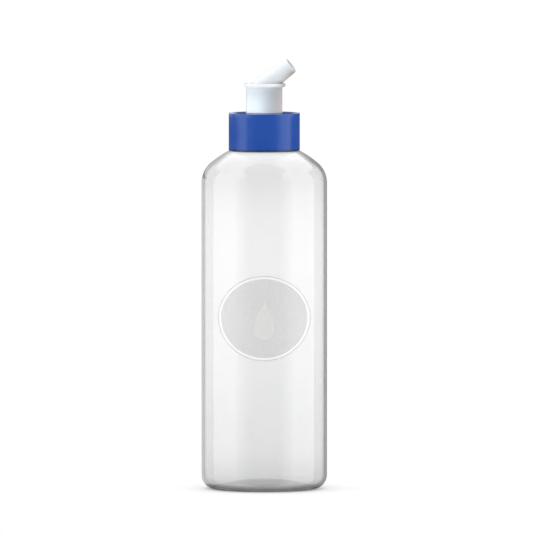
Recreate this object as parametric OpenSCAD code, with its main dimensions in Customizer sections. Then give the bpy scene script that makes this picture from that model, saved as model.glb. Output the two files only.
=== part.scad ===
// Sports squeeze bottle: a clear blow-moulded body, a screw collar, and a drinking closure whose spout
// tilts on a ball seat inside a turret that swivels. The spout is shut in the drawn position.
// Origin at the centre of the standing ring, +Z up, the spout leans towards +X. Millimetres.

/* [Bottle body] */
// Outside diameter of the straight wall
body_d = 73; // [72:0.5:74]
// Thickness of the blown wall
body_wall = 1.0; // [0.8:0.1:1.2]
// Radius of the rounded corner between the base and the straight wall
base_corner_r = 8; // [7.5:0.5:10]
// Thickness of the base
base_wall = 1.2; // [1.0:0.1:1.4]
// Height of the pushed-up middle of the base above the table
base_push_up = 4.2; // [3.6:0.2:5]
// Height at which the straight wall turns into the shoulder
shoulder_z = 178.6; // [178:0.2:179]
// Radius of the outer part of the shoulder
shoulder_outer_r = 15; // [14.6:0.1:15.4]
// Radius of the flatter part of the shoulder near the neck
shoulder_inner_r = 60; // [58:1:62]
// Angle at which the outer shoulder radius hands over to the flatter one
shoulder_blend = 50; // [49:1:51]

/* [Neck and thread] */
// Height of the lip of the neck
lip_z = 213.3; // [213:0.1:213.4]
// Outside diameter of the neck between its threads
neck_d = 35.1; // [35:0.05:35.2]
// Diameter of the mouth
mouth_d = 31; // [30.8:0.1:31.2]
// Distance the collar rises in one turn
thread_pitch = 4.23; // [4.1:0.01:4.35]
// Radial height of a thread
thread_h = 1.1; // [1:0.05:1.15]
// Turns of thread on the neck
neck_turns = 2.25; // [1.75:0.25:2.25]
// Turns of thread inside the collar
collar_turns = 2; // [1.5:0.25:2]

/* [Screw collar] */
// Outside diameter of the collar
collar_d = 41.4; // [41.2:0.1:42]
// Height of the bottom edge of the collar
collar_z = 197.4; // [197.3:0.1:197.8]
// Height of the top face of the collar
collar_top_z = 219.2; // [219.1:0.1:219.4]
// Thickness of the panel across the top of the collar
collar_panel = 2.4; // [2:0.1:2.4]

/* [Spout base and seals] */
// Thickness of the flat gasket between the lip and the spout base
gasket_t = 1.4; // [1.2:0.1:1.4]
// Outside diameter of the tube the turret turns on
tube_d = 16.8; // [16.6:0.1:17]
// Diameter of the passage through the spout base
passage_d = 12.4; // [12:0.1:12.6]
// Thickness of the rubber cord of the swivel ring
o_ring_cord = 1.22; // [1.1:0.02:1.24]

/* [Turret] */
// Outside diameter of the turret
turret_d = 21; // [20.8:0.1:21.1]
// Height of the top of the turret's rounded lip
rim_z = 236.5; // [236.4:0.05:236.6]
// Outside diameter of the lip
rim_d = 24.8; // [24.6:0.1:25]
// Thickness of the lip
lip_t = 2.2; // [2:0.1:2.4]
// Slope of the dish inside the rim
dish_slope = 41.5; // [41:0.5:42]
// Running gap between the turret and the tube it turns on
swivel_gap = 0.1; // [0.08:0.01:0.1]

/* [Spout] */
// Radius of the ball at the root of the spout
ball_r = 6.1; // [6:0.05:6.15]
// Distance from the centre of the ball to the tip of the spout
spout_l = 21.5; // [20.5:0.1:22.5]
// Outside diameter of the tip
tip_d = 9.3; // [9:0.1:9.4]
// Diameter of the outlet at the tip
outlet_d = 7.2; // [6.6:0.1:7.2]
// Diameter of the drilled way through the ball
ball_bore_d = 4.8; // [4.4:0.1:5]
// Diameter of the two pivot pins
pin_d = 2.6; // [2.4:0.1:2.6]
// Tilt of the shut spout away from upright
shut_tilt = 52.5; // [52:0.5:52.5]

/* [Hidden] */
$fa = 5;
$fs = 0.4;
eps = 0.05;
body_r = body_d / 2;
neck_r = neck_d / 2;
mouth_r = mouth_d / 2;
collar_r = collar_d / 2;
tube_r = tube_d / 2;
passage_r = passage_d / 2;
turret_r = turret_d / 2;
rim_r = rim_d / 2;

// Base of the body: a flat standing ring round a shallow dome
ring_in_r = 24.5;
dome_r = 22.5;
dome_edge_z = 1.8;
dome_sag = base_push_up - dome_edge_z;
dome_R = (dome_r * dome_r + dome_sag * dome_sag) / (2 * dome_sag);
dome_c = base_push_up - dome_R;
trough_shift = 0.4;

// Shoulder: two arcs that share a tangent where they meet, up to a narrow ledge under the collar
s1 = [body_r - shoulder_outer_r, shoulder_z];
s2 = s1 + (shoulder_outer_r - shoulder_inner_r) * [cos(shoulder_blend), sin(shoulder_blend)];
neck_foot_z = 197;
ledge_in_z = neck_foot_z - body_wall;
shoulder_end_a = asin((neck_foot_z - s2.y) / shoulder_inner_r);
shoulder_in_end_a = asin((ledge_in_z - s2.y) / (shoulder_inner_r - body_wall));
lip_round = 0.4;

// Threads, one tooth shape for the neck and the collar
tooth_root_w = 2.4;
tooth_crest_w = 1.1;
tooth_embed = 0.5;
tooth_step = 10;
tooth_run_out = 40;
neck_thread_z = 201.5;
thread_gap = 0.3;
collar_in_r = neck_r + thread_h + thread_gap;
collar_thread_z = neck_thread_z - thread_pitch / 2;
edge_break = 0.4;
skirt_bevel = [0.15, 0.3];
collar_corner_r = 0.35;

// Spout base, from the gasket up
plate_z = lip_z + gasket_t;
plate_top_z = 216.7;
plate_r = 17.3;
plug_r = mouth_r - 0.3;
plug_wall = 1.6;
plug_h = 4.4;
tube_top_z = 226;
bead_r = tube_r + 0.55;
bead_z = 218.8;
o_ring_z = 223.15;
groove_h = 1.7;
groove_r = tube_r - 1.2;

// Turret
foot_z = plate_top_z + 0.3;
foot_bead_z = collar_top_z + 0.15;
foot_bead_h = 0.9;
foot_bead_r = turret_r + 0.25;
hole_r = turret_r + 0.35;
bore_r = tube_r + swivel_gap;
bore_top_z = 226.3;
roll_r = lip_t / 2;
roll_c = [rim_r - roll_r, rim_z - roll_r];
under_lip_z = rim_z - lip_t;
lip_fillet = 0.4;
roll_end_a = 95;
dish_rim = roll_c + roll_r * [cos(roll_end_a), sin(roll_end_a)];
dish_floor_z = 229.5;
dish_floor_r = dish_rim.x - (dish_rim.y - dish_floor_z) / tan(dish_slope);
core_in_r = 6.6;

// Spout and its seat
pivot = [-1.2, 0, 234.1];
pocket_r = ball_r + 0.3;
seat_gap = 0.1;
seat_out_r = 4.4;
seat_z = 227.4;
port_r = 2.2;
pin_tip_y = 8.6;
pin_gap = 0.06;
cheek_in_y = pocket_r + 0.1;
cheek_out_y = 9.9;
cheek_w = 5.4;
cheek_top_z = 236;
snap_w = 2.2;
lug_a = 164;
lug_r = ball_r + 0.8;
lug_w = 1.4;
lug_side_w = 2;
slot_r = lug_r + 0.3;
slot_end_a = lug_a + shut_tilt + 7.6;

// Points along an arc of radius r about [cx, cz], from angle a0 to a1
function arc(cx, cz, r, a0, a1, n) =
    [for (i = [0 : n]) let (a = a0 + (a1 - a0) * i / n) [cx + r * cos(a), cz + r * sin(a)]];

// A helical tooth. The crest leaves the wall at each end and comes back into it.
module helix_tooth(wall_r, crest_dir, height, z0, turns) {
    steps = round(turns * 360 / tooth_step);
    ramp = round(tooth_run_out / tooth_step);
    root_r = wall_r - crest_dir * tooth_embed;
    pts = [for (i = [0 : steps], k = [0 : 3])
        let (a = i * tooth_step,
            rise = min(1, i / ramp, (steps - i) / ramp),
            crest_r = wall_r + crest_dir * (rise * (height + eps) - eps),
            half_w = (k == 0 || k == 3) ? tooth_root_w / 2 : tooth_crest_w / 2,
            r = (k == 0 || k == 3) ? root_r : crest_r,
            z = z0 + thread_pitch * a / 360 + (k < 2 ? -half_w : half_w))
        [r * cos(a), r * sin(a), z]];
    sides = [for (i = [0 : steps - 1], k = [0 : 3], t = [0, 1])
        let (a = 4 * i + k, b = 4 * i + (k + 1) % 4)
        t == 0 ? [a, b, b + 4] : [a, b + 4, a + 4]];
    last = 4 * steps;
    caps = [[0, 2, 1], [0, 3, 2], [last, last + 1, last + 2], [last, last + 2, last + 3]];
    faces = concat(sides, caps);
    flipped = [for (f = faces) [f[0], f[2], f[1]]];
    polyhedron(pts, crest_dir > 0 ? faces : flipped);
}

// Blown body: thin shell with a pushed-up base, a rounded shoulder and a threaded neck
module bottle_body() {
    outside = concat(
        arc(0, dome_c, dome_R, 90, acos(dome_r / dome_R), 6),
        [[ring_in_r, 0]],
        arc(body_r - base_corner_r, base_corner_r, base_corner_r, -90, 0, 9),
        arc(s1.x, s1.y, shoulder_outer_r, 0, shoulder_blend, 8),
        arc(s2.x, s2.y, shoulder_inner_r, shoulder_blend, shoulder_end_a, 5),
        [[neck_r + 1, neck_foot_z], [neck_r, neck_foot_z + 0.8]],
        arc(neck_r - lip_round, lip_z - lip_round, lip_round, 0, 90, 3));
    inner_corner_r = base_corner_r - body_wall;
    inside = concat(
        arc(0, dome_c, dome_R + base_wall, 90, acos((dome_r + trough_shift) / (dome_R + base_wall)), 6),
        [[ring_in_r + trough_shift, base_wall]],
        arc(body_r - base_corner_r, base_corner_r + base_wall - body_wall, inner_corner_r, -90, 0, 9),
        arc(s1.x, s1.y, shoulder_outer_r - body_wall, 0, shoulder_blend, 8),
        arc(s2.x, s2.y, shoulder_inner_r - body_wall, shoulder_blend, shoulder_in_end_a, 5),
        [[mouth_r + 1, ledge_in_z], [mouth_r, ledge_in_z + 1]],
        [[mouth_r, lip_z - 0.3], [mouth_r + 0.3, lip_z]]);
    color([0.86, 0.9, 0.92, 0.45]) union() {
        rotate_extrude() polygon(concat(outside, [for (i = [len(inside) - 1 : -1 : 0]) inside[i]]));
        helix_tooth(neck_r, 1, thread_h, neck_thread_z, neck_turns);
    }
}

// Flat ring squeezed between the lip and the spout base
module neck_gasket() {
    color([0.85, 0.85, 0.83]) translate([0, 0, lip_z]) difference() {
        cylinder(h = gasket_t, r = plate_r);
        translate([0, 0, -1]) cylinder(h = gasket_t + 2, r = plug_r + eps);
    }
}

// Spout base: plate on the lip, plug down the mouth, tube standing up through the collar
module spout_base() {
    color([0.95, 0.96, 0.97]) rotate_extrude() polygon([
        [passage_r, plate_z], [plug_r - plug_wall, plate_z], [plug_r - plug_wall, plate_z - plug_h],
        [plug_r - edge_break, plate_z - plug_h], [plug_r, plate_z - plug_h + 1], [plug_r, plate_z],
        [plate_r, plate_z], [plate_r, plate_top_z], [tube_r, plate_top_z],
        [tube_r, bead_z], [bead_r, bead_z], [bead_r, bead_z + 0.6], [tube_r, bead_z + 1.8],
        [tube_r, o_ring_z - groove_h / 2], [groove_r, o_ring_z - groove_h / 2],
        [groove_r, o_ring_z + groove_h / 2], [tube_r, o_ring_z + groove_h / 2],
        [tube_r, tube_top_z - edge_break], [tube_r - edge_break, tube_top_z], [passage_r, tube_top_z]]);
}

// Rubber ring in the groove of the tube, sealing the swivel
module swivel_o_ring() {
    color([0.15, 0.15, 0.16]) translate([0, 0, o_ring_z]) rotate_extrude()
        translate([groove_r + o_ring_cord / 2, 0]) circle(d = o_ring_cord);
}

// Collar: smooth skirt with an inner thread, and a panel that holds the spout base down
module screw_collar() {
    color([0.16, 0.33, 0.65]) union() {
        rotate_extrude() polygon(concat(
            [[collar_in_r + edge_break, collar_z], [collar_r - skirt_bevel.x, collar_z]],
            [[collar_r, collar_z + skirt_bevel.y]],
            arc(collar_r - collar_corner_r, collar_top_z - collar_corner_r, collar_corner_r, 0, 90, 4),
            [[hole_r + 0.2, collar_top_z], [hole_r, collar_top_z - 0.2]],
            [[hole_r, collar_top_z - collar_panel], [collar_in_r, collar_top_z - collar_panel]],
            [[collar_in_r, collar_z + edge_break]]));
        helix_tooth(collar_in_r, -1, thread_h, collar_thread_z, collar_turns);
    }
}

// Rubber seat round the port, hollowed to the ball
module ball_seal() {
    color([0.2, 0.2, 0.21]) difference() {
        translate([pivot.x, 0, seat_z]) cylinder(h = dish_floor_z - seat_z, r = seat_out_r);
        translate([pivot.x, 0, seat_z - 1]) cylinder(h = 5, r = port_r);
        translate(pivot) sphere(r = ball_r + seat_gap);
    }
}

// Outline of the turret before the pocket is cut: flared foot, wall, rounded lip, dish and hollow underneath
module turret_turning() {
    rotate_extrude() polygon(concat(
        [[bore_r + 0.3, foot_z], [turret_r, foot_z], [turret_r, foot_bead_z], [foot_bead_r, foot_bead_z + 0.15],
            [turret_r, foot_bead_z + foot_bead_h]],
        arc(turret_r + lip_fillet, under_lip_z - lip_fillet, lip_fillet, 180, 90, 3),
        arc(roll_c.x, roll_c.y, roll_r, -90, roll_end_a, 10),
        [[dish_floor_r, dish_floor_z], [0, dish_floor_z], [0, bore_top_z], [core_in_r, bore_top_z],
            [core_in_r, bore_top_z + 2.1], [bore_r, bore_top_z + 3.4]],
        [[bore_r, bead_z + 2.2], [bead_r + 0.3, bead_z + 1.3], [bead_r + 0.3, bead_z - 0.3]],
        [[bore_r, bead_z - 0.3], [bore_r, foot_z + 0.3]]));
}

// Turret: swivelling housing with the ball's pocket, two pin cheeks and the port to the spout
module turret() {
    color([0.93, 0.95, 0.97]) difference() {
        union() {
            turret_turning();
            for (side = [-1, 1])
                translate([pivot.x - cheek_w / 2, side > 0 ? cheek_in_y : -cheek_out_y, dish_floor_z])
                    cube([cheek_w, cheek_out_y - cheek_in_y, cheek_top_z - dish_floor_z]);
        }
        translate(pivot) sphere(r = pocket_r);
        translate([pivot.x, 0, seat_z]) cylinder(h = 4, r = seat_out_r + eps);
        translate([pivot.x, 0, bore_top_z - 1]) cylinder(h = 4, r = port_r);
        translate(pivot) rotate([90, 0, 0]) cylinder(h = 2 * pin_tip_y + 0.4, d = pin_d + 2 * pin_gap, center = true);
        translate([pivot.x - snap_w / 2, -pin_tip_y - 0.2, pivot.z]) cube([snap_w, 2 * pin_tip_y + 0.4, 5]);
        translate(pivot) rotate([90, 0, 0]) linear_extrude(lug_side_w + 0.6, center = true) intersection() {
            circle(r = slot_r);
            polygon([[0, 0], [-9, 4.5], [-9, -1], 12 * [cos(slot_end_a), sin(slot_end_a)]]);
        }
    }
}

// Spout: ball with two pivot pins and a stop lug, and the tapered tube that the drink leaves by
module spout() {
    tip_r = tip_d / 2;
    outlet_r = outlet_d / 2;
    ball_bore_r = ball_bore_d / 2;
    color([0.97, 0.98, 0.99]) translate(pivot) difference() {
        union() {
            sphere(r = ball_r);
            rotate([0, shut_tilt, 0]) rotate_extrude() polygon(concat(
                [[0, 0], [ball_r - eps, 0]],
                arc(tip_r - 0.3, spout_l - 0.3, 0.3, 0, 90, 3),
                [[0, spout_l]]));
            rotate([90, 0, 0]) cylinder(h = 2 * pin_tip_y, d = pin_d, center = true);
            rotate([0, -lug_a, 0]) translate([ball_r - 1, -lug_side_w / 2, -lug_w / 2])
                cube([lug_r - ball_r + 1, lug_side_w, lug_w]);
        }
        rotate([0, shut_tilt, 0]) {
            translate([0, 0, -ball_r - 1]) cylinder(h = ball_r + 3, r = ball_bore_r);
            translate([0, 0, 2 - eps]) cylinder(h = 5 + eps, r1 = ball_bore_r, r2 = outlet_r);
            translate([0, 0, 7 - eps]) cylinder(h = spout_l, r = outlet_r);
        }
    }
}

bottle_body();
neck_gasket();
spout_base();
swivel_o_ring();
screw_collar();
turret();
ball_seal();
spout();
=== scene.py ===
# Looks of the sports squeeze bottle: clear blown body with an oval print, blue collar, white turret, spout.
import math

import bmesh
import bpy
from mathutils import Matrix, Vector


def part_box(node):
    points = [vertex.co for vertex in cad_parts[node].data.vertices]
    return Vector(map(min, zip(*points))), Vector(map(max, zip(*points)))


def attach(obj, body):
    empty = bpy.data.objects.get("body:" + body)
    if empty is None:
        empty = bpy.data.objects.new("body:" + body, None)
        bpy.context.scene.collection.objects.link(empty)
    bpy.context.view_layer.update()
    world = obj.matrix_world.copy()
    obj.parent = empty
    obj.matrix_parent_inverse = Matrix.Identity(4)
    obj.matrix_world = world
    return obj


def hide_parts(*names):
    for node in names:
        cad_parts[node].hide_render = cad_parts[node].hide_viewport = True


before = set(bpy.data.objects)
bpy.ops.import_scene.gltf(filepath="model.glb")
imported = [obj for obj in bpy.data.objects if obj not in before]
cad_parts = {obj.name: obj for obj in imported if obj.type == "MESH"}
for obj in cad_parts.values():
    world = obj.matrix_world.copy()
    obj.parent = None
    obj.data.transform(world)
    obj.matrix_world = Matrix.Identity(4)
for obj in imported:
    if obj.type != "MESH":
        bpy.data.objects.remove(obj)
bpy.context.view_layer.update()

MM = 0.001

# ---------------------------------------------------------------- sizes, from the frame where it has them

_, body_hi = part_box("bottle_body")
collar_lo, collar_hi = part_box("screw_collar")
BODY_R = body_hi.x
LIP_Z = body_hi.z
COLLAR_R = collar_hi.x
COLLAR_Z = collar_lo.z
COLLAR_TOP_Z = collar_hi.z

WALL = 1.0 * MM
BASE_WALL = 1.2 * MM
BASE_CORNER_R = 8 * MM
PUSH_UP = 4.2 * MM
RING_IN_R = 24.5 * MM
DOME_R = 22.5 * MM
DOME_EDGE_Z = 1.8 * MM
SHOULDER_Z = 178.6 * MM
SHOULDER_OUTER_R = 15 * MM
SHOULDER_INNER_R = 60 * MM
SHOULDER_BLEND = 50
NECK_R = 17.55 * MM
MOUTH_R = 15.5 * MM
NECK_FOOT_Z = 197 * MM
NECK_FILLET = 0.8 * MM
MOUTH_FILLET = 1 * MM
LIP_ROUND = 0.4 * MM
MOUTH_ROUND = 0.3 * MM

PITCH = 4.23 * MM
THREAD_H = 1.1 * MM
TOOTH_ROOT = 2.0 * MM
TOOTH_CREST = 1.1 * MM
NECK_THREAD_Z = 201.5 * MM
NECK_TURNS = 2.25
COLLAR_TURNS = 2
RUN_OUT = 40 / 360
THREAD_ROW = 0.18 * MM
COLLAR_IN_R = NECK_R + THREAD_H + 0.3 * MM
COLLAR_HOLE_R = 10.85 * MM
COLLAR_PANEL = 2.4 * MM
COLLAR_CORNER_R = 0.35 * MM
SKIRT_BEVEL = (0.15 * MM, 0.3 * MM)

AROUND = 180

# ---------------------------------------------------------------- camera

# A long lens from far off. The picture takes in FRAME_WIDTH at the bottle, whose axis is OFF_CENTRE to the
# left of its middle.
CAM_AZIMUTH = math.radians(10)
CAM_ELEVATION = math.radians(3.3)
CAM_DISTANCE = 8.0
FRAME_WIDTH = 310.5258 * MM
LOOK_AT_Z = 129.6 * MM
OFF_CENTRE = 1.3 * MM

back = Vector((math.sin(CAM_AZIMUTH) * math.cos(CAM_ELEVATION),
               -math.cos(CAM_AZIMUTH) * math.cos(CAM_ELEVATION), math.sin(CAM_ELEVATION)))
right = Vector((math.cos(CAM_AZIMUTH), math.sin(CAM_AZIMUTH), 0))
camera_data = bpy.data.cameras.new("camera")
camera_data.sensor_width = 36
camera_data.lens = camera_data.sensor_width * CAM_DISTANCE / FRAME_WIDTH
camera = bpy.data.objects.new("camera", camera_data)
bpy.context.scene.collection.objects.link(camera)
camera.location = Vector((0, 0, LOOK_AT_Z)) + right * OFF_CENTRE + back * CAM_DISTANCE
camera.rotation_mode = "QUATERNION"
camera.rotation_quaternion = (-back).to_track_quat("-Z", "Y")
bpy.context.scene.camera = camera

# ---------------------------------------------------------------- mesh helpers


def add_object(name, bm, sharp_angle=18):
    """Mesh object from a bmesh, smooth shaded with its sharp edges kept."""
    bmesh.ops.recalc_face_normals(bm, faces=bm.faces)
    mesh = bpy.data.meshes.new(name)
    bm.to_mesh(mesh)
    bm.free()
    mesh.shade_smooth()
    mesh.set_sharp_from_angle(angle=math.radians(sharp_angle))
    obj = bpy.data.objects.new(name, mesh)
    bpy.context.scene.collection.objects.link(obj)
    return obj


def arc(cr, cz, radius, start, end, steps):
    """Points (r, z) along an arc about (cr, cz), angles in degrees."""
    angles = [math.radians(start + (end - start) * i / steps) for i in range(steps + 1)]
    return [(cr + radius * math.cos(a), cz + radius * math.sin(a)) for a in angles]


def thread_height(turn, z, start_z, turns):
    """Height of a helical thread above its wall, at that angle (in turns) and height. Both ends run out."""
    best = 0
    for lap in range(math.ceil(turns)):
        along = turn + lap
        if along > turns:
            continue
        rise = min(1, along / RUN_OUT, (turns - along) / RUN_OUT)
        off = abs(z - start_z - PITCH * along)
        flank = (TOOTH_ROOT / 2 - off) / (TOOTH_ROOT / 2 - TOOTH_CREST / 2)
        flank = min(1, max(0, flank))
        best = max(best, THREAD_H * rise * flank * flank * (3 - 2 * flank))
    return best


def add_lathe(bm, profile, closed, thread=None, around=AROUND, second_from=None):
    """Turns a profile of (r, z) points about Z. Points on the axis become a single vertex. thread is
    (wall radius, +1 outwards or -1 inwards, height of its start, turns) for a threaded wall. Faces from
    the profile point second_from on take the object's second material."""
    rings = []
    for r, z in profile:
        if r < 1e-7:
            rings.append([bm.verts.new((0, 0, z))])
            continue
        ring = []
        for k in range(around):
            at = r
            if thread and abs(r - thread[0]) < 1e-7:
                at += thread[1] * thread_height(k / around, z, thread[2], thread[3])
            angle = 2 * math.pi * k / around
            ring.append(bm.verts.new((at * math.cos(angle), at * math.sin(angle), z)))
        rings.append(ring)
    pairs = list(zip(rings, rings[1:] + rings[:1] if closed else rings[1:]))
    for i, (low, high) in enumerate(pairs):
        for k in range(around):
            n = (k + 1) % around
            if len(low) == 1:
                corners = (low[0], high[n], high[k])
            elif len(high) == 1:
                corners = (low[k], low[n], high[0])
            else:
                corners = (low[k], low[n], high[n], high[k])
            face = bm.faces.new(corners)
            if second_from is not None and i >= second_from:
                face.material_index = 1


def rows(r, z0, z1, step):
    """Points up or down a straight wall, ends left out."""
    count = max(1, round(abs(z1 - z0) / step))
    return [(r, z0 + (z1 - z0) * i / count) for i in range(1, count)]


# ---------------------------------------------------------------- materials


def new_material(name):
    """An empty node material: returns it with its tree and its Principled shader."""
    mat = bpy.data.materials.new(name)
    mat.use_nodes = True
    tree = mat.node_tree
    return mat, tree, tree.nodes["Principled BSDF"]


def noise(tree, scale, detail=3, stretch=(1, 1, 1)):
    """Noise in the piece's own coordinates. scale is features per metre."""
    coords = tree.nodes.new("ShaderNodeTexCoord")
    mapping = tree.nodes.new("ShaderNodeMapping")
    mapping.inputs["Scale"].default_value = stretch
    texture = tree.nodes.new("ShaderNodeTexNoise")
    texture.inputs["Scale"].default_value = scale
    texture.inputs["Detail"].default_value = detail
    tree.links.new(coords.outputs["Object"], mapping.inputs["Vector"])
    tree.links.new(mapping.outputs["Vector"], texture.inputs["Vector"])
    return texture.outputs["Fac"]


def between(tree, value, low, high):
    """Maps a 0.3 to 0.7 noise value to the range low to high."""
    spread = tree.nodes.new("ShaderNodeMapRange")
    spread.inputs["From Min"].default_value = 0.3
    spread.inputs["From Max"].default_value = 0.7
    spread.inputs["To Min"].default_value = low
    spread.inputs["To Max"].default_value = high
    tree.links.new(value, spread.inputs["Value"])
    return spread.outputs["Result"]


def tint(tree, value, dark, light):
    """Colour between two shades, led by a noise value."""
    mix = tree.nodes.new("ShaderNodeMix")
    mix.data_type = "RGBA"
    mix.inputs["A"].default_value = (*dark, 1)
    mix.inputs["B"].default_value = (*light, 1)
    tree.links.new(between(tree, value, 0, 1), mix.inputs["Factor"])
    return mix.outputs["Result"]


def bump(tree, value, height, strength=1.0, under=None):
    """Bump of that height in metres, laid over another bump if one is given."""
    node = tree.nodes.new("ShaderNodeBump")
    node.inputs["Strength"].default_value = strength
    node.inputs["Distance"].default_value = height
    tree.links.new(value, node.inputs["Height"])
    if under is not None:
        tree.links.new(under, node.inputs["Normal"])
    return node.outputs["Normal"]


def moulded_plastic(name, dark, light, rough, grain, subsurface=0.0, shine=0.5):
    """Moulded plastic: slight colour drift, uneven polish and a fine spark-eroded grain."""
    mat, tree, shader = new_material(name)
    tree.links.new(tint(tree, noise(tree, 60), dark, light), shader.inputs["Base Color"])
    tree.links.new(between(tree, noise(tree, 220, 4), *rough), shader.inputs["Roughness"])
    swell = bump(tree, noise(tree, 90, 2), 0.012 * MM, 0.25)
    fine = bump(tree, noise(tree, 3200, 2), grain, 0.35, swell)
    tree.links.new(fine, shader.inputs["Normal"])
    shader.inputs["IOR"].default_value = 1.49
    shader.inputs["Specular IOR Level"].default_value = shine
    shader.inputs["Subsurface Weight"].default_value = subsurface
    shader.inputs["Subsurface Radius"].default_value = (1.0, 1.0, 1.0)
    shader.inputs["Subsurface Scale"].default_value = 1.5 * MM
    return mat


def math_node(tree, operation, *values):
    """A Math node. Each value is a socket or a number."""
    node = tree.nodes.new("ShaderNodeMath")
    node.operation = operation
    for socket, value in zip(node.inputs, values):
        if isinstance(value, (int, float)):
            socket.default_value = value
        else:
            tree.links.new(value, socket)
    return node.outputs["Value"]


def height_tone(tree, tones, low, high):
    """Grey by height up the piece, from (height, grey) pairs between low and high."""
    coords = tree.nodes.new("ShaderNodeTexCoord")
    split = tree.nodes.new("ShaderNodeSeparateXYZ")
    spread = tree.nodes.new("ShaderNodeMapRange")
    ramp = tree.nodes.new("ShaderNodeValToRGB")
    ramp.color_ramp.interpolation = "B_SPLINE"
    spread.inputs["From Min"].default_value = low
    spread.inputs["From Max"].default_value = high
    tree.links.new(coords.outputs["Object"], split.inputs["Vector"])
    tree.links.new(split.outputs["Z"], spread.inputs["Value"])
    tree.links.new(spread.outputs["Result"], ramp.inputs["Fac"])
    set_stops(ramp, [((z - low) / (high - low), (grey, grey, grey)) for z, grey in tones])
    return ramp.outputs["Color"]


def set_stops(ramp, stops):
    """Gives a colour ramp its (position, colour) stops."""
    elements = ramp.color_ramp.elements
    while len(elements) > 1:
        elements.remove(elements[-1])
    elements[0].position = stops[0][0]
    elements[0].color = (*stops[0][1], 1)
    for position, colour in stops[1:]:
        elements.new(position).color = (*colour, 1)


# Grey of the milk in the wall and how much of it there is, by height in metres. The grey has shade and light
# painted in: darker towards the base, where the table shades it, a darker band on the shoulder, and lighter
# just under the collar to undo the collar's shadow.
BODY_GREY_AND_PAINTED_SHADE = ((0, 0.36), (0.002, 0.44), (0.004, 0.58), (0.007, 0.60), (0.013, 0.72), (0.022, 0.77),
              (0.060, 0.84), (0.100, 0.90), (0.133, 0.93), (0.157, 0.92), (0.173, 0.83), (0.180, 0.76),
              (0.187, 0.74), (0.191, 0.80), (0.1935, 0.95), (0.2133, 0.97))
BODY_HAZE = ((0, 0.34), (0.006, 0.30), (0.022, 0.22), (0.180, 0.22), (0.188, 0.23), (0.1925, 0.24),
             (0.1945, 0.45), (0.197, 0.72), (0.2133, 0.50))
TONES_TOP = 0.2133

# The wall gets darker where it's seen edge-on. That comes in past a radius or above a height, so it stays off
# the base. The growths are per metre, and EDGE_ON is where it starts and is full, from 0 facing to 1 edge-on.
RIM_FROM_R = 25.43 * MM
RIM_FROM_Z = 6.25 * MM
RIM_GROWTH_R = 350
RIM_GROWTH_Z = 160
EDGE_ON = (0.66, 0.88)
CLEAR_TINT = (0.985, 0.985, 0.985)
EDGE_TINT = (0.60, 0.60, 0.58)


def off_the_base(tree):
    """0 on the pushed-up base, 1 on the wall, the shoulder and the neck, faded over a few millimetres."""
    coords = tree.nodes.new("ShaderNodeTexCoord")
    split = tree.nodes.new("ShaderNodeSeparateXYZ")
    tree.links.new(coords.outputs["Object"], split.inputs["Vector"])
    x, y, z = split.outputs["X"], split.outputs["Y"], split.outputs["Z"]
    squares = math_node(tree, "ADD", math_node(tree, "MULTIPLY", x, x), math_node(tree, "MULTIPLY", y, y))
    past = math_node(tree, "SUBTRACT", math_node(tree, "SQRT", squares), RIM_FROM_R)
    far = math_node(tree, "SMOOTH_MIN", math_node(tree, "MULTIPLY", past, RIM_GROWTH_R), 1, 0.1)
    high = math_node(tree, "MULTIPLY", math_node(tree, "SUBTRACT", z, RIM_FROM_Z), RIM_GROWTH_Z)
    both = math_node(tree, "MAXIMUM", far, high)
    return math_node(tree, "MINIMUM", math_node(tree, "MAXIMUM", both, 0), 1)


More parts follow.
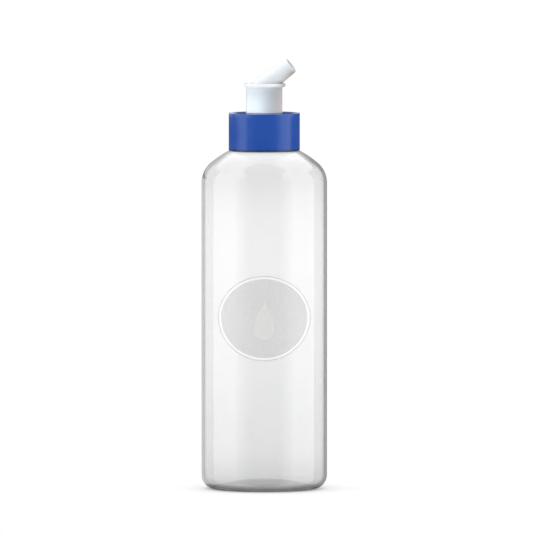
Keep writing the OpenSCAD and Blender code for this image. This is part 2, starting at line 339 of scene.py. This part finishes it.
def clear_plastic(name, glossy):
    """Blown clear plastic: see-through with some milk in it, darker where the wall is seen edge-on. glossy
    gives it a shiny skin, for the outside."""
    mat, tree, milk = new_material(name)
    # The milk's grey by height, with its painted shade and light
    tone = height_tone(tree, BODY_GREY_AND_PAINTED_SHADE, 0, TONES_TOP)
    drift = tint(tree, noise(tree, 26), (0.975, 0.98, 0.985), (1.0, 1.0, 1.0))
    blend = tree.nodes.new("ShaderNodeMix")
    blend.data_type = "RGBA"
    blend.blend_type = "MULTIPLY"
    blend.inputs["Factor"].default_value = 1
    tree.links.new(tone, blend.inputs["A"])
    tree.links.new(drift, blend.inputs["B"])
    tree.links.new(blend.outputs["Result"], milk.inputs["Base Color"])
    milk.inputs["Specular IOR Level"].default_value = 0
    milk.inputs["Roughness"].default_value = 0.6
    facing = tree.nodes.new("ShaderNodeLayerWeight")
    facing.inputs["Blend"].default_value = 0.5
    grazing = facing.outputs["Facing"]
    edge = tree.nodes.new("ShaderNodeMapRange")
    edge.interpolation_type = "SMOOTHSTEP"
    edge.inputs["From Min"].default_value = EDGE_ON[0]
    edge.inputs["From Max"].default_value = EDGE_ON[1]
    tree.links.new(grazing, edge.inputs["Value"])
    rim = math_node(tree, "MULTIPLY", edge.outputs["Result"], off_the_base(tree))
    through = tree.nodes.new("ShaderNodeMix")
    through.data_type = "RGBA"
    through.inputs["A"].default_value = (*CLEAR_TINT, 1)
    through.inputs["B"].default_value = (*EDGE_TINT, 1)
    tree.links.new(rim, through.inputs["Factor"])
    clear = tree.nodes.new("ShaderNodeBsdfTransparent")
    tree.links.new(through.outputs["Result"], clear.inputs["Color"])
    spread = between(tree, noise(tree, 18, 2, (1, 1, 0.3)), 0.92, 1.08)
    thick = math_node(tree, "MULTIPLY", height_tone(tree, BODY_HAZE, 0, TONES_TOP), spread)
    thin = math_node(tree, "MULTIPLY_ADD", rim, -0.6, 1)
    wall = tree.nodes.new("ShaderNodeMixShader")
    tree.links.new(math_node(tree, "MULTIPLY", thick, thin), wall.inputs["Fac"])
    tree.links.new(clear.outputs["BSDF"], wall.inputs[1])
    tree.links.new(milk.outputs["BSDF"], wall.inputs[2])
    if not glossy:
        tree.links.new(wall.outputs["Shader"], tree.nodes["Material Output"].inputs["Surface"])
        return mat
    gloss = tree.nodes.new("ShaderNodeBsdfGlossy")
    tree.links.new(between(tree, noise(tree, 150, 4), 0.03, 0.06), gloss.inputs["Roughness"])
    flow = bump(tree, noise(tree, 60, 2, (1, 1, 0.1)), 0.015 * MM, 0.15)
    tree.links.new(flow, gloss.inputs["Normal"])
    mirror = math_node(tree, "MULTIPLY_ADD", math_node(tree, "POWER", grazing, 5), 0.9, 0.04)
    side = tree.nodes.new("ShaderNodeNewGeometry")
    from_outside = math_node(tree, "SUBTRACT", 1, side.outputs["Backfacing"])
    skin = tree.nodes.new("ShaderNodeMixShader")
    tree.links.new(math_node(tree, "MULTIPLY", mirror, from_outside), skin.inputs["Fac"])
    tree.links.new(wall.outputs["Shader"], skin.inputs[1])
    tree.links.new(gloss.outputs["BSDF"], skin.inputs[2])
    tree.links.new(skin.outputs["Shader"], tree.nodes["Material Output"].inputs["Surface"])
    return mat


def ink(name, dark, light, cover):
    """Screen-printed ink, laid down a little unevenly. cover is how much it hides, from 0 to 1."""
    mat, tree, shader = new_material(name)
    tree.links.new(tint(tree, noise(tree, 420, 4), dark, light), shader.inputs["Base Color"])
    tree.links.new(between(tree, noise(tree, 900, 3), 0.3, 0.42), shader.inputs["Roughness"])
    tree.links.new(bump(tree, noise(tree, 2600, 2), 0.01 * MM, 0.3), shader.inputs["Normal"])
    clear = tree.nodes.new("ShaderNodeBsdfTransparent")
    mix = tree.nodes.new("ShaderNodeMixShader")
    tree.links.new(between(tree, noise(tree, 700, 3), cover - 0.02, cover + 0.02), mix.inputs["Fac"])
    tree.links.new(clear.outputs["BSDF"], mix.inputs[1])
    tree.links.new(shader.outputs["BSDF"], mix.inputs[2])
    tree.links.new(mix.outputs["Shader"], tree.nodes["Material Output"].inputs["Surface"])
    return mat


CLEAR_OUTSIDE = clear_plastic("clear_plastic_outside", True)
CLEAR_INSIDE = clear_plastic("clear_plastic_inside", False)
BLUE = moulded_plastic("blue_plastic", (0.011, 0.065, 0.325), (0.015, 0.072, 0.345), (0.16, 0.22),
                       0.012 * MM, 0, 0.35)
WHITE = moulded_plastic("white_plastic", (0.695, 0.73, 0.76), (0.72, 0.755, 0.78), (0.20, 0.28),
                        0.005 * MM, 0.15)
SEAL = moulded_plastic("seal_rubber", (0.015, 0.015, 0.017), (0.03, 0.03, 0.032), (0.55, 0.7), 0.02 * MM)
GASKET = moulded_plastic("gasket_silicone", (0.62, 0.62, 0.60), (0.72, 0.72, 0.70), (0.45, 0.6),
                         0.02 * MM, 0.2)


def paint_edge_shade(mat, low, high, dark):
    """Paints shade into a moulded plastic's colour: fades it to a darker colour between two heights, where
    the collar's edge is shaded.
    """
    tree = mat.node_tree
    shader = tree.nodes["Principled BSDF"]
    coords = tree.nodes.new("ShaderNodeTexCoord")
    split = tree.nodes.new("ShaderNodeSeparateXYZ")
    fade = tree.nodes.new("ShaderNodeMapRange")
    fade.inputs["From Min"].default_value = high
    fade.inputs["From Max"].default_value = low
    mix = tree.nodes.new("ShaderNodeMix")
    mix.data_type = "RGBA"
    tree.links.new(coords.outputs["Object"], split.inputs["Vector"])
    tree.links.new(split.outputs["Z"], fade.inputs["Value"])
    tree.links.new(fade.outputs["Result"], mix.inputs["Factor"])
    tree.links.new(shader.inputs["Base Color"].links[0].from_socket, mix.inputs["A"])
    mix.inputs["B"].default_value = (*dark, 1)
    tree.links.new(mix.outputs["Result"], shader.inputs["Base Color"])


# Painted shade along the collar's bottom edge, over the shoulder
EDGE_SHADE = (0.012, 0.034, 0.060)
paint_edge_shade(BLUE, COLLAR_Z + 0.4 * MM, COLLAR_Z + 1.5 * MM, EDGE_SHADE)


def paint(obj, mat):
    """Gives a piece that material and no other."""
    obj.data.materials.clear()
    obj.data.materials.append(mat)
    return obj


# ---------------------------------------------------------------- bottle body


def body_profile():
    """The blown shell's outside from the middle of the base up to the lip, then back down its inside. The
    second value is how many points the outside has."""
    sag = PUSH_UP - DOME_EDGE_Z
    dome_radius = (DOME_R ** 2 + sag ** 2) / (2 * sag)
    dome_c = PUSH_UP - dome_radius
    s1 = (BODY_R - SHOULDER_OUTER_R, SHOULDER_Z)
    blend = math.radians(SHOULDER_BLEND)
    drop = SHOULDER_OUTER_R - SHOULDER_INNER_R
    s2 = (s1[0] + drop * math.cos(blend), s1[1] + drop * math.sin(blend))

    def side(shift, base_shift):
        """One face of the shell up to the ledge under the collar; shift moves it into the wall."""
        top = SHOULDER_INNER_R - shift
        end = math.degrees(math.asin((NECK_FOOT_Z - shift - s2[1]) / top))
        dome_edge = DOME_R + base_shift / 3
        dome_end = math.degrees(math.acos(dome_edge / (dome_radius + base_shift)))
        points = arc(0, dome_c, dome_radius + base_shift, 90, dome_end, 14)
        points += [(RING_IN_R + base_shift / 3, base_shift)]
        foot = BASE_CORNER_R + base_shift - shift
        points += arc(BODY_R - BASE_CORNER_R, foot, BASE_CORNER_R - shift, -90, 0, 18)
        points += rows(BODY_R - shift, foot, SHOULDER_Z, 8 * MM)
        points += arc(*s1, SHOULDER_OUTER_R - shift, 0, SHOULDER_BLEND, 20)[:-1]
        points += arc(*s2, top, SHOULDER_BLEND, end, 14)
        return points

    neck_low, neck_high = NECK_FOOT_Z + NECK_FILLET, LIP_Z - LIP_ROUND
    outside = side(0, 0)
    outside += arc(NECK_R + NECK_FILLET, neck_low, NECK_FILLET, 270, 180, 6)
    outside += rows(NECK_R, neck_low, neck_high, THREAD_ROW)
    outside += arc(NECK_R - LIP_ROUND, neck_high, LIP_ROUND, 0, 90, 6)
    inside = side(WALL, BASE_WALL)
    inside += arc(MOUTH_R + MOUTH_FILLET, NECK_FOOT_Z, MOUTH_FILLET, 270, 180, 6)
    inside += arc(MOUTH_R + MOUTH_ROUND, LIP_Z - MOUTH_ROUND, MOUTH_ROUND, 180, 90, 4)
    profile = outside + inside[::-1]
    profile[0] = (0, profile[0][1])
    profile[-1] = (0, profile[-1][1])
    return profile, len(outside)


bm = bmesh.new()
profile, outside_points = body_profile()
neck_thread = (NECK_R, 1, NECK_THREAD_Z, NECK_TURNS)
add_lathe(bm, profile, closed=False, thread=neck_thread, second_from=outside_points - 1)
body_shell = paint(add_object("body_shell", bm), CLEAR_OUTSIDE)
body_shell.data.materials.append(CLEAR_INSIDE)
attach(body_shell, "bottle")
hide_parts("bottle_body")

# ---------------------------------------------------------------- printed badge

INK_GAP = 0.004 * MM


def print_shape(name, outline, hub, inner, lift, mat):
    """Ink on the front of the body. outline is a loop of (across, up) points, hub the point it shrinks to,
    inner how far in it starts (0 fills it), and lift the height of the ink above the wall."""
    bm = bmesh.new()
    steps = 14
    skins = []
    for radius in (BODY_R + INK_GAP, BODY_R + lift):
        rings = []
        for i in range(steps + 1):
            s = inner + (1 - inner) * i / steps
            if s < 1e-6:
                loop = [hub]
            else:
                loop = [(hub[0] + s * (x - hub[0]), hub[1] + s * (z - hub[1])) for x, z in outline]
            row = []
            for x, z in loop:
                turn = math.asin(x / BODY_R) + CAM_AZIMUTH
                row.append(bm.verts.new((radius * math.sin(turn), -radius * math.cos(turn), z)))
            rings.append(row)
        skins.append(rings)
    n = len(outline)
    for rings in skins:
        for low, high in zip(rings, rings[1:]):
            for k in range(n):
                m = (k + 1) % n
                if len(low) == 1:
                    bm.faces.new((low[0], high[k], high[m]))
                else:
                    bm.faces.new((low[k], high[k], high[m], low[m]))
    edges = (0, -1) if inner > 0 else (-1,)
    for e in edges:
        for k in range(n):
            m = (k + 1) % n
            bm.faces.new((skins[0][e][k], skins[0][e][m], skins[1][e][m], skins[1][e][k]))
    obj = paint(add_object(name, bm, 60), mat)
    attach(obj, "bottle")
    return obj


BADGE_Z = 101.4 * MM
BADGE_W = 26.9 * MM
BADGE_H = 24.7 * MM


def ellipse(scale, points=144):
    """The badge's outline at that scale."""
    turns = [2 * math.pi * k / points for k in range(points)]
    return [(BADGE_W * scale * math.cos(t), BADGE_Z + BADGE_H * scale * math.sin(t)) for t in turns]


def water_drop(width, height, z, points=96):
    """A drop with its point up."""
    loop = []
    for k in range(points):
        t = 2 * math.pi * k / points
        loop.append((width * math.sin(t) * math.sin(t / 2) ** 1.6, z + height * math.cos(t)))
    return loop


INK_GREY = ink("ink_grey", (0.66, 0.665, 0.665), (0.70, 0.705, 0.70), 0.55)
INK_WHITE = ink("ink_white", (0.86, 0.87, 0.88), (0.91, 0.91, 0.92), 0.88)
INK_PALE = ink("ink_pale", (0.76, 0.76, 0.75), (0.80, 0.80, 0.79), 0.75)
INK_LINE = ink("ink_line", (0.60, 0.60, 0.61), (0.64, 0.64, 0.65), 0.6)
centre = (0, BADGE_Z)
print_shape("badge_field", ellipse(0.93), centre, 0, 0.02 * MM, INK_GREY)
print_shape("badge_ring", ellipse(0.975), centre, 0.93 / 0.975, 0.03 * MM, INK_WHITE)
print_shape("badge_edge", ellipse(1.0), centre, 0.98, 0.02 * MM, INK_LINE)
DROP_Z = BADGE_Z - 0.8 * MM
drop = water_drop(8.6 * MM, 11.5 * MM, DROP_Z)
print_shape("badge_drop", drop, (0, DROP_Z - 3 * MM), 0, 0.04 * MM, INK_PALE)

# ---------------------------------------------------------------- collar


def collar_profile():
    """The collar's section: up its outside, across the top and the hole, and down its threaded inside."""
    edge = 0.4 * MM
    wide, tall = SKIRT_BEVEL
    high = COLLAR_TOP_Z - COLLAR_CORNER_R
    under = COLLAR_TOP_Z - COLLAR_PANEL
    points = [(COLLAR_IN_R + edge, COLLAR_Z), (COLLAR_R - wide, COLLAR_Z), (COLLAR_R, COLLAR_Z + tall)]
    points += rows(COLLAR_R, COLLAR_Z + tall, high, 2 * MM)
    points += arc(COLLAR_R - COLLAR_CORNER_R, high, COLLAR_CORNER_R, 0, 90, 8)
    points += [(16 * MM, COLLAR_TOP_Z)]
    points += arc(COLLAR_HOLE_R + 0.2 * MM, COLLAR_TOP_Z - 0.2 * MM, 0.2 * MM, 90, 180, 4)
    points += [(COLLAR_HOLE_R, under), (COLLAR_IN_R, under)]
    points += rows(COLLAR_IN_R, under, COLLAR_Z + edge, THREAD_ROW)
    points += [(COLLAR_IN_R, COLLAR_Z + edge)]
    return points


bm = bmesh.new()
collar_thread = (COLLAR_IN_R, -1, NECK_THREAD_Z - PITCH / 2, COLLAR_TURNS)
add_lathe(bm, collar_profile(), closed=True, thread=collar_thread)
collar_shell = paint(add_object("collar_shell", bm), BLUE)
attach(collar_shell, "collar")
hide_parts("screw_collar")

# ---------------------------------------------------------------- carried-over CAD nodes

for node, mat in (("turret", WHITE), ("spout", WHITE), ("spout_base", WHITE), ("swivel_o_ring", SEAL),
                  ("ball_seal", SEAL), ("neck_gasket", GASKET)):
    paint(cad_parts[node], mat)

# ---------------------------------------------------------------- floor, lights, surroundings


def turned_to_front(tree):
    """A stage piece's own x and y, turned so that -y is the front."""
    coords = tree.nodes.new("ShaderNodeTexCoord")
    turned = tree.nodes.new("ShaderNodeVectorRotate")
    turned.rotation_type = "Z_AXIS"
    turned.inputs["Angle"].default_value = -CAM_AZIMUTH
    split = tree.nodes.new("ShaderNodeSeparateXYZ")
    tree.links.new(coords.outputs["Object"], turned.inputs["Vector"])
    tree.links.new(turned.outputs["Vector"], split.inputs["Vector"])
    return split.outputs["X"], split.outputs["Y"]


def by_azimuth(tree, stops):
    """Light by degrees away from the front, negative to its left, from (degrees, colour) pairs."""
    x, y = turned_to_front(tree)
    angle = math_node(tree, "ARCTAN2", x, math_node(tree, "MULTIPLY", y, -1))
    ramp = tree.nodes.new("ShaderNodeValToRGB")
    tree.links.new(math_node(tree, "MULTIPLY_ADD", angle, 0.5 / math.pi, 0.5), ramp.inputs["Fac"])
    set_stops(ramp, [(0.5 + degrees / 360, colour) for degrees, colour in stops])
    return ramp.outputs["Color"]


def glowing(name, strength, stops=None):
    """An emission material, plain or patterned by azimuth."""
    mat = bpy.data.materials.new(name)
    mat.use_nodes = True
    tree = mat.node_tree
    tree.nodes.clear()
    out = tree.nodes.new("ShaderNodeOutputMaterial")
    glow = tree.nodes.new("ShaderNodeEmission")
    glow.inputs["Strength"].default_value = strength
    if stops:
        tree.links.new(by_azimuth(tree, stops), glow.inputs["Color"])
    tree.links.new(glow.outputs["Emission"], out.inputs["Surface"])
    return mat


def stage_piece(name, bm, mat, seen_by):
    """Studio equipment that only the named kinds of ray see, never the camera."""
    obj = paint(add_object(name, bm), mat)
    obj.visible_camera = False
    obj.visible_transmission = False
    obj.visible_volume_scatter = False
    obj.visible_diffuse = "diffuse" in seen_by
    obj.visible_glossy = "glossy" in seen_by
    obj.visible_shadow = "diffuse" in seen_by
    return obj


def grey_stops(stops):
    """(degrees, level) pairs as (degrees, colour) pairs."""
    return [(degrees, (level, level, level)) for degrees, level in stops]


def stage_lathe(name, start, end, mat, seen_by):
    """A flat ring, disc or tube: the line between two (r, z) points, turned about Z."""
    bm = bmesh.new()
    add_lathe(bm, [start, end], closed=False, around=72)
    return stage_piece(name, bm, mat, seen_by)


def stage_arc(name, radius, low, high, start, end, mat, seen_by):
    """An upright card that follows a circle between two azimuths, in degrees from the front."""
    bm = bmesh.new()
    steps = 24
    columns = []
    for i in range(steps + 1):
        turn = math.radians(start + (end - start) * i / steps) + CAM_AZIMUTH
        x, y = radius * math.sin(turn), -radius * math.cos(turn)
        columns.append([bm.verts.new((x, y, z)) for z in (low, high)])
    for left, beside in zip(columns, columns[1:]):
        bm.faces.new((left[0], beside[0], beside[1], left[1]))
    return stage_piece(name, bm, mat, seen_by)


# The room as the gloss sees it: a dim gap in front, a tall softbox on each side with a soft inner edge and a
# sharp outer one, greyer walls behind them, and the white sweep straight behind. The gap ends overhead in a
# rounded tip, and the lights go on under the table's edge.
STUDIO = ((-180, 0.3), (-172, 0.4), (-158, 1.1), (-135, 1.1), (-120, 0.8), (-107, 0.6), (-106, 2.6),
          (-57, 2.6), (-46, 1.5), (-26, 0.08), (28, 0.08), (46, 1.5), (57, 2.6), (103, 2.6), (104, 0.5),
          (114, 0.45), (135, 0.12), (168, 0.12), (174, 0.3), (180, 0.3))
STUDIO_LOW = ((-180, 0.3), (-112, 0.3), (-106, 4.2), (-50, 4.2), (-26, 0.2), (26, 0.2), (50, 4.2),
              (106, 4.2), (112, 0.3), (180, 0.3))
DRUM_R = 1.0
DRUM_LOW = -1.5
DRUM_HIGH = 0.8
GAP_TIP = 0.12
GAP_BEND = 0.35
GAP_BLUR = (-0.16, 0.12)
OVERHEAD = 2.25
GAP_DARK = 0.08

# Two cards round the collar, for its stripes. A shelf under them keeps them out of the shoulder's gloss: it
# carries the studio's pattern, pulled in towards the front near the wall, where reflections have gone less
# far. Each ring of it is (inner radius, outer radius, how far the pattern is pulled in).
COLLAR_CARDS = ((-180, 0.1), (-98, 0.1), (-78, 1.9), (-60, 2.1), (-54, 0.1), (38, 0.1), (62, 1.9),
                (89, 2.1), (93, 0.1), (180, 0.1))
RING_R = 0.25
RING_TOP = 0.210
SHELF_Z = 0.1815
SHELF_RINGS = ((0.037, 0.050, 0.58), (0.050, 0.070, 0.72), (0.070, 0.100, 0.80), (0.100, 0.150, 0.87),
               (0.150, RING_R, 0.92))


def overhead_light():
    """Ceiling light with a dark gap that comes in from the front and ends in a rounded tip."""
    mat = glowing("top_glow", 1)
    tree = mat.node_tree
    x, y = turned_to_front(tree)
    wide = math_node(tree, "MULTIPLY", math_node(tree, "MULTIPLY", x, x), -1 / GAP_BEND)
    inside = math_node(tree, "SUBTRACT", math_node(tree, "ADD", wide, GAP_TIP), y)
    level = tree.nodes.new("ShaderNodeMapRange")
    level.interpolation_type = "SMOOTHSTEP"
    level.inputs["From Min"].default_value = GAP_BLUR[0]
    level.inputs["From Max"].default_value = GAP_BLUR[1]
    level.inputs["To Min"].default_value = OVERHEAD
    level.inputs["To Max"].default_value = GAP_DARK
    tree.links.new(inside, level.inputs["Value"])
    tree.links.new(level.outputs["Result"], tree.nodes["Emission"].inputs["Strength"])
    return mat


drum_light = glowing("drum_glow", 1, grey_stops(STUDIO))
low_light = glowing("bottom_glow", 1, grey_stops(STUDIO_LOW))
collar_light = glowing("collar_glow", 1, grey_stops(COLLAR_CARDS))
stage_lathe("studio_drum", (DRUM_R, DRUM_LOW), (DRUM_R, DRUM_HIGH), drum_light, "glossy")
stage_lathe("studio_top", (0, DRUM_HIGH), (DRUM_R, DRUM_HIGH), overhead_light(), "glossy")
stage_lathe("studio_bottom", (0, DRUM_LOW), (DRUM_R, DRUM_LOW), low_light, "glossy")
for i, (inner, outer, pull) in enumerate(SHELF_RINGS):
    pulled = [(degrees * pull, level) for degrees, level in STUDIO]
    shelf_light = glowing(f"shelf_glow_{i}", 1, grey_stops(pulled))
    stage_lathe(f"shelf_{i}", (inner, SHELF_Z), (outer, SHELF_Z), shelf_light, "glossy")
stage_lathe("collar_cards", (RING_R, SHELF_Z), (RING_R, RING_TOP), collar_light, "glossy")

# Cards on the collar round the turret: cool and bright on the left, warm and dimmer on the right, with a dark
# lid under the lip. The lid's upper side lights the lip, and a warm card stands under the spout.
TENT = ((-180, (0.10, 0.12, 0.16)), (-130, (0.12, 0.14, 0.18)), (-112, (1.16, 1.22, 1.26)),
        (-90, (1.38, 1.44, 1.46)), (-8, (1.38, 1.46, 1.52)), (6, (0.72, 0.76, 0.84)),
        (60, (0.70, 0.64, 0.62)), (84, (0.94, 0.86, 0.83)), (112, (0.88, 0.80, 0.78)),
        (130, (0.12, 0.14, 0.18)), (180, (0.10, 0.12, 0.16)))
LID_TOP = ((-180, (1.0, 1.0, 1.0)), (20, (1.30, 1.28, 1.26)), (50, (0.95, 0.89, 0.82)),
           (120, (0.74, 0.67, 0.60)), (160, (1.0, 1.0, 1.0)), (180, (1.0, 1.0, 1.0)))
CARD = ((-180, (0.24, 0.20, 0.16)), (180, (0.24, 0.20, 0.16)))
TENT_R = COLLAR_R - 0.3 * MM
TENT_IN_R = 11.2 * MM
LID_IN_R = 12.7 * MM
TENT_LOW = COLLAR_TOP_Z + 0.2 * MM
UNDER_Z = TENT_LOW - 0.05 * MM
UNDER_LIP_Z = 234.3 * MM
LID_TOP_Z = UNDER_LIP_Z + 0.1 * MM
CARD_TOP_Z = 243 * MM
CARD_ARC = (50, 125)
tent_light = glowing("tent_glow", 1, TENT)
under_light = glowing("under_glow", 0.95)
lid_dark = glowing("lid_dark", 0.25)
lid_light = glowing("lid_glow", 1, LID_TOP)
card_light = glowing("card_warm", 1, CARD)
stage_lathe("tent_wall", (TENT_R, TENT_LOW), (TENT_R, UNDER_LIP_Z), tent_light, "glossy diffuse")
stage_lathe("tent_floor", (TENT_IN_R, TENT_LOW), (TENT_R, TENT_LOW), tent_light, "diffuse")
stage_lathe("tent_under", (TENT_IN_R, UNDER_Z), (TENT_R, UNDER_Z), under_light, "diffuse")
stage_lathe("tent_lid", (LID_IN_R, UNDER_LIP_Z), (TENT_R, UNDER_LIP_Z), lid_dark, "glossy diffuse")
stage_lathe("lid_top", (LID_IN_R, LID_TOP_Z), (TENT_R, LID_TOP_Z), lid_light, "glossy diffuse")
stage_arc("spout_card", TENT_R, LID_TOP_Z, CARD_TOP_Z, *CARD_ARC, card_light, "glossy diffuse")

# A dark disc just under the base, because a table keeps the light out there
FOOT_SHADE_R = 37 * MM
FOOT_SHADE_Z = -0.2 * MM
foot_dark = glowing("foot_dark", 0.06)
stage_lathe("foot_shade", (0, FOOT_SHADE_Z), (FOOT_SHADE_R, FOOT_SHADE_Z), foot_dark, "glossy diffuse")

# The camera sees plain white. Everything else sees a room that is brighter overhead.
ROOM_LOW = 0.86
ROOM_HIGH = 1.42
world = bpy.data.worlds.new("studio")
bpy.context.scene.world = world
world.use_nodes = True
tree = world.node_tree
tree.nodes.clear()
out = tree.nodes.new("ShaderNodeOutputWorld")
path = tree.nodes.new("ShaderNodeLightPath")
seen = tree.nodes.new("ShaderNodeBackground")
seen.inputs["Color"].default_value = (1, 1, 1, 1)
room = tree.nodes.new("ShaderNodeBackground")
room.inputs["Color"].default_value = (1, 1, 1, 1)
coords = tree.nodes.new("ShaderNodeTexCoord")
split = tree.nodes.new("ShaderNodeSeparateXYZ")
overhead = tree.nodes.new("ShaderNodeMapRange")
overhead.inputs["From Min"].default_value = -1
overhead.inputs["To Min"].default_value = ROOM_LOW
overhead.inputs["To Max"].default_value = ROOM_HIGH
tree.links.new(coords.outputs["Generated"], split.inputs["Vector"])
tree.links.new(split.outputs["Z"], overhead.inputs["Value"])
tree.links.new(overhead.outputs["Result"], room.inputs["Strength"])
mix = tree.nodes.new("ShaderNodeMixShader")
tree.links.new(path.outputs["Is Camera Ray"], mix.inputs["Fac"])
tree.links.new(room.outputs["Background"], mix.inputs[1])
tree.links.new(seen.outputs["Background"], mix.inputs[2])
tree.links.new(mix.outputs["Shader"], out.inputs["Surface"])

# A pale floor for the contact shadow, which fades out before its edge
FLOOR_R = 0.11
FLOOR_RINGS = 12
FLOOR_GREY = 0.77
FADE_FROM_R = 0.05
bm = bmesh.new()
floor_line = [(FLOOR_R * (i / FLOOR_RINGS) ** 1.3, 0) for i in range(FLOOR_RINGS + 1)]
add_lathe(bm, floor_line, closed=False, around=96)
floor = add_object("floor", bm)
mat = bpy.data.materials.new("pale_floor")
mat.use_nodes = True
tree = mat.node_tree
shader = tree.nodes["Principled BSDF"]
shader.inputs["Base Color"].default_value = (FLOOR_GREY, FLOOR_GREY, FLOOR_GREY, 1)
shader.inputs["Roughness"].default_value = 0.9
coords = tree.nodes.new("ShaderNodeTexCoord")
far = tree.nodes.new("ShaderNodeVectorMath")
far.operation = "LENGTH"
fade = tree.nodes.new("ShaderNodeMapRange")
fade.interpolation_type = "SMOOTHSTEP"
fade.inputs["From Min"].default_value = FADE_FROM_R
fade.inputs["From Max"].default_value = FLOOR_R * 0.95
fade.inputs["To Min"].default_value = 1
fade.inputs["To Max"].default_value = 0
tree.links.new(coords.outputs["Object"], far.inputs[0])
tree.links.new(far.outputs["Value"], fade.inputs["Value"])
tree.links.new(fade.outputs["Result"], shader.inputs["Alpha"])
floor.data.materials.append(mat)
floor.visible_glossy = False
floor.visible_diffuse = False
floor.visible_shadow = False

bpy.context.scene.view_settings.view_transform = "Standard"
